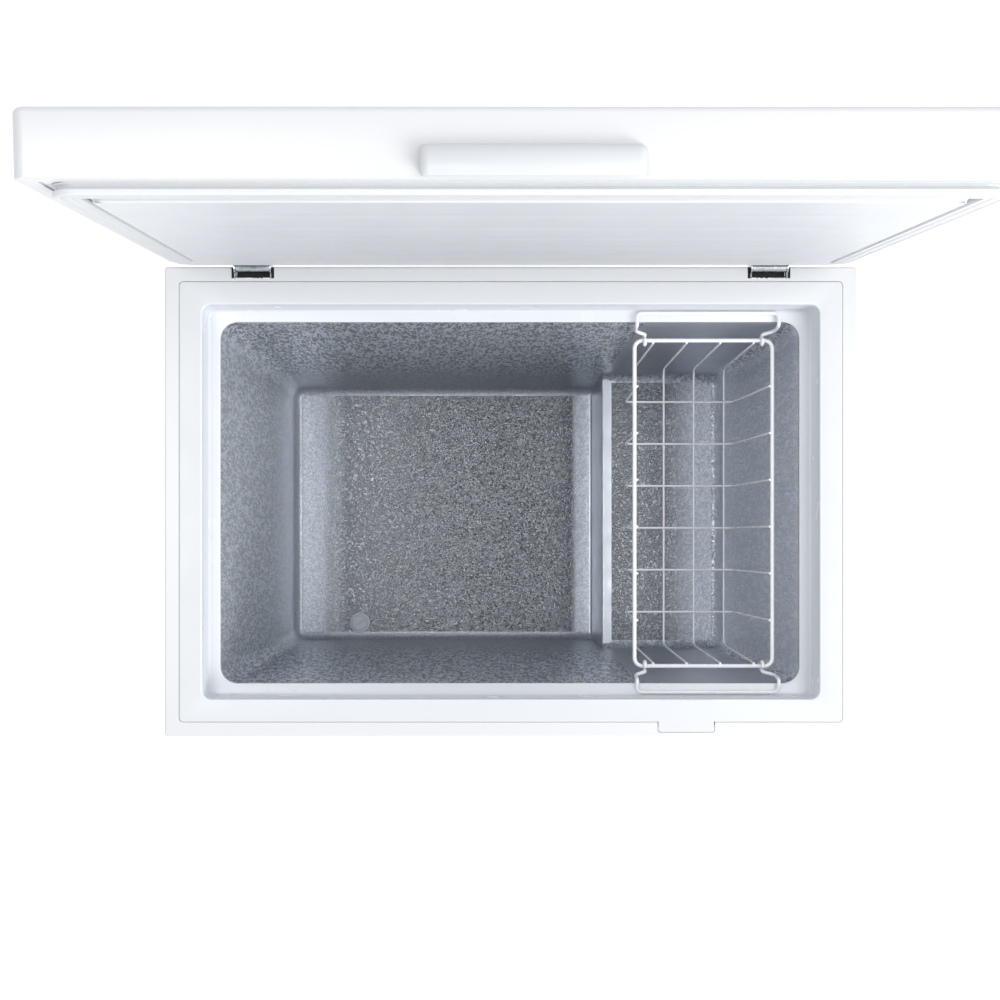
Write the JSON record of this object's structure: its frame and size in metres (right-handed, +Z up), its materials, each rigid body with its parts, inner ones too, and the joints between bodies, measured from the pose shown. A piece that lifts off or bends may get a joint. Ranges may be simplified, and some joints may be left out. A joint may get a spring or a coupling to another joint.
{
  "type": "chest freezer",
  "caption": "White chest freezer with hinged insulated lid, embossed metal liner with a step over the machine room, sliding wire basket and drain.",
  "frame": {"origin": "on the floor under the centre of the overall box, lid standing open", "axes": "+Z up, +X to the right seen from the front, +Y to the rear, where the lid is hinged"},
  "size_m": [0.7454, 0.5834, 1.3082],
  "materials": {
    "white_steel": "smooth white powder coat",
    "white_plastic": "satin moulded plastic",
    "lid_liner_plastic": "satin vacuum-formed plastic",
    "embossed_aluminium": "stucco embossed, bright",
    "foam": null,
    "galvanised_steel": "galvanised sheet",
    "black_enamel": "black enamel",
    "rubber": "matte",
    "black_plastic": "matte",
    "copper": "drawn tube",
    "grey_plastic": "satin",
    "green_lens": "clear green lens",
    "zinc_steel": "bright zinc plate",
    "spring_steel": "oiled spring wire",
    "gasket_vinyl": "soft white vinyl",
    "coated_wire": "white plastic-dipped wire"
  },
  "bodies": {
    "cabinet": {"outer_wrapper": "white_steel", "breaker_frame": "white_plastic", "side_grille": "white_plastic", "drain_flange": "white_plastic", "drain_tube": "white_plastic", "inner_liner": "embossed_aluminium", "foam_insulation": "foam", "base_pan": "galvanised_steel", "back_panel": "galvanised_steel", "machine_room_panel": "galvanised_steel", "rear_cover": "galvanised_steel", "compressor_shell": "black_enamel", "compressor_tray": "black_enamel", "grommet_1": "rubber", "grommet_2": "rubber", "grommet_3": "rubber", "grommet_4": "rubber", "relay_cover": "black_plastic", "cord_gland": "black_plastic", "thermostat_body": "black_plastic", "foot_front_left": "black_plastic", "foot_front_right": "black_plastic", "foot_rear_left": "black_plastic", "foot_rear_right": "black_plastic", "discharge_tube": "copper", "condenser_tube": "copper", "filter_drier": "copper", "evaporator_tube": "copper", "suction_tube": "copper", "process_tube": "copper", "capillary_tube": "copper", "control_bezel": "grey_plastic", "power_lamp": "green_lens", "hinge_body_left": "zinc_steel", "hinge_body_right": "zinc_steel", "hinge_pin_left": "zinc_steel", "hinge_pin_right": "zinc_steel", "hinge_screw_left_1": "zinc_steel", "hinge_screw_left_2": "zinc_steel", "hinge_screw_right_1": "zinc_steel", "hinge_screw_right_2": "zinc_steel", "hinge_spring_left": "spring_steel", "hinge_spring_right": "spring_steel"},
    "basket": {"basket": "coated_wire"},
    "bail_front": {"basket_bail_front": "coated_wire"},
    "bail_rear": {"basket_bail_rear": "coated_wire"},
    "knob": {"thermostat_knob": "white_plastic"},
    "drain_plug": {"drain_plug": "white_plastic"},
    "drain_cap": {"drain_cap": "grey_plastic"},
    "lid": {"lid_outer_panel": "white_steel", "lid_inner_liner": "lid_liner_plastic", "lid_foam": "foam", "lid_gasket": "gasket_vinyl", "lid_handle": "white_plastic", "hinge_leaf_left": "zinc_steel", "hinge_leaf_right": "zinc_steel", "leaf_screw_left_1": "zinc_steel", "leaf_screw_left_2": "zinc_steel", "leaf_screw_right_1": "zinc_steel", "leaf_screw_right_2": "zinc_steel"}
  },
  "joints": [
    {"name": "lid_hinge", "type": "hinge", "parent": "cabinet", "child": "lid", "pos_m": [0, 0.22967, 0.79], "axis": [-1, 0, 0], "range_deg": [-85, 0]},
    {"name": "basket_slide", "type": "slide", "parent": "cabinet", "child": "basket", "axis": [1, 0, 0], "range_m": [-0.44, 0.01]},
    {"name": "bail_rear_pivot", "type": "hinge", "parent": "basket", "child": "bail_rear", "pos_m": [0.217, 0.15967, 0.73], "axis": [1, 0, 0], "range_deg": [0, 100]},
    {"name": "bail_front_pivot", "type": "hinge", "parent": "basket", "child": "bail_front", "pos_m": [0.217, -0.20433, 0.73], "axis": [-1, 0, 0], "range_deg": [0, 100]},
    {"name": "thermostat_turn", "type": "hinge", "parent": "cabinet", "child": "knob", "pos_m": [0.306, -0.27873, 0.11], "axis": [0, 1, 0], "range_deg": [-135, 135]},
    {"name": "drain_plug_lift", "type": "slide", "parent": "cabinet", "child": "drain_plug", "axis": [0, 0, 1], "range_m": [0, 0.06]},
    {"name": "drain_cap_pull", "type": "slide", "parent": "cabinet", "child": "drain_cap", "axis": [0, -1, 0], "range_m": [0, 0.02]}
  ]
}
